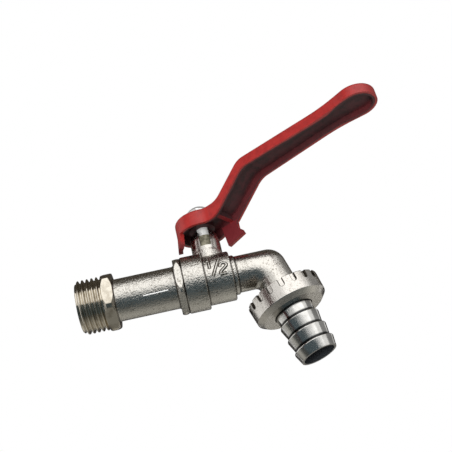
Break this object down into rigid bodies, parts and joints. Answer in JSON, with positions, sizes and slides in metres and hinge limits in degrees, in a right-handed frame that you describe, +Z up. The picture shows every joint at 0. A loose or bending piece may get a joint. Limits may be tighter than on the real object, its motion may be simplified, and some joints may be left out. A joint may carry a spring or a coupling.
{
  "type": "hose tap",
  "caption": "Plated ball-valve hose tap with a threaded inlet, red cranked lever, bent spout and a barbed hose tail held by a notched union nut.",
  "frame": {"origin": "centre of the inlet end face, on the axis of the inlet thread", "axes": "+X along the body from inlet to outlet, +Z up along the stem, the lever leans towards -Y"},
  "size_m": [0.1224, 0.0698, 0.0777],
  "materials": {
    "plated_casting": "nickel plated, as cast",
    "plated_turning": "nickel plated, turned",
    "bright_plate": "bright plated",
    "raw_brass": "raw turned",
    "red_paint": "glossy paint on a die casting",
    "seat_plastic": "turned seat plastic",
    "seal": "moulded"
  },
  "bodies": {
    "body": {"valve_body": "plated_casting", "inlet_connector": "plated_casting", "body_seal": "seal", "inlet_seat": "seat_plastic", "outlet_seat": "seat_plastic", "stem_thrust_washer": "seat_plastic", "stem_packing": "seat_plastic", "gland_nut": "raw_brass"},
    "handle": {"lever": "red_paint", "stem": "bright_plate", "ball": "bright_plate", "lever_washer": "bright_plate", "lever_nut": "bright_plate"},
    "tail": {"hose_tail": "plated_turning", "hose_gasket": "seal"},
    "union_nut": {"hose_nut": "plated_turning"}
  },
  "joints": [
    {"name": "lever_turn", "type": "hinge", "parent": "body", "child": "handle", "pos_m": [0.0522, 0, 0], "axis": [0, 0, -1], "range_deg": [-37.2, 52.8]},
    {"name": "tail_slide", "type": "slide", "parent": "body", "child": "tail", "axis": [0.2487, 0, -0.9686], "range_m": [0, 0.00363]},
    {"name": "nut_turn", "type": "hinge", "parent": "tail", "child": "union_nut", "pos_m": [0.07698, 0, -0.01182], "axis": [0.2487, 0, -0.9686], "range_deg": [0, 720.5]}
  ],
  "couplings": [
    {"joint": "nut_turn", "follows": "tail_slide", "rad_per_m": 3463.7}
  ]
}
